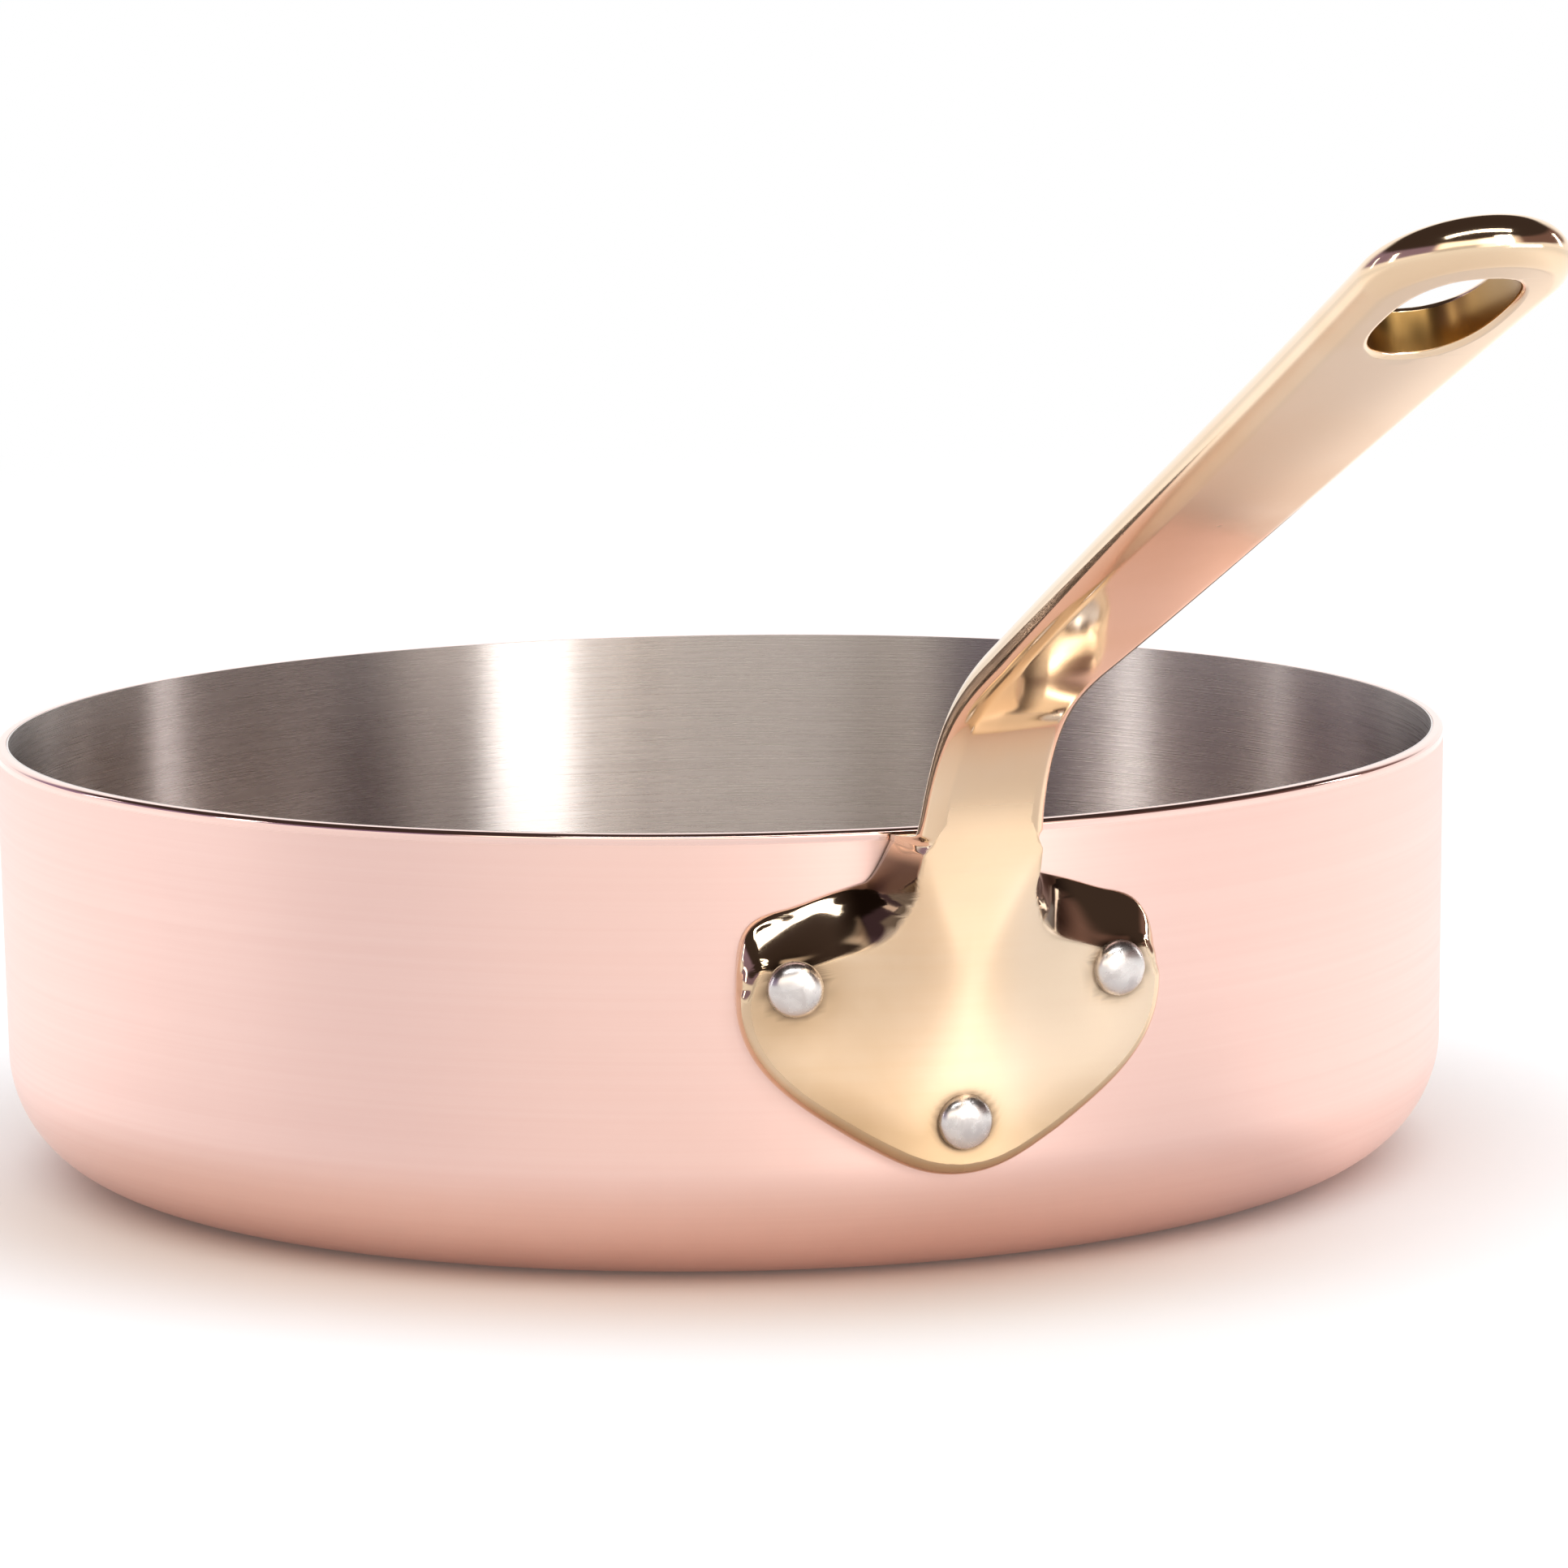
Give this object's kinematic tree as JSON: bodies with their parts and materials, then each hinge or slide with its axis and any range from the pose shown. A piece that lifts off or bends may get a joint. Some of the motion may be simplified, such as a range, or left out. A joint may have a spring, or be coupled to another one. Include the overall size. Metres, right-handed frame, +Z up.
{
  "type": "deep frying pan",
  "caption": "Straight-walled copper frying pan with a bonded steel lining and a long cast brass handle, riveted to the wall and pierced at its end with a hanging eye.",
  "frame": {"origin": "centre of the flat underside of the pan, on the floor", "axes": "+Z up along the pan's axis, +X along the handle, away from the pan"},
  "size_m": [0.4513, 0.24, 0.1758],
  "materials": {
    "copper": null,
    "lining": "stainless steel brushed around the wall",
    "brass": "polished casting",
    "rivet": "satin steel"
  },
  "bodies": {
    "root": {"copper_body": "copper", "steel_lining": "lining", "brass_handle": "brass", "rivet_upper_left": "rivet", "rivet_upper_right": "rivet", "rivet_lower": "rivet"}
  },
  "joints": []
}
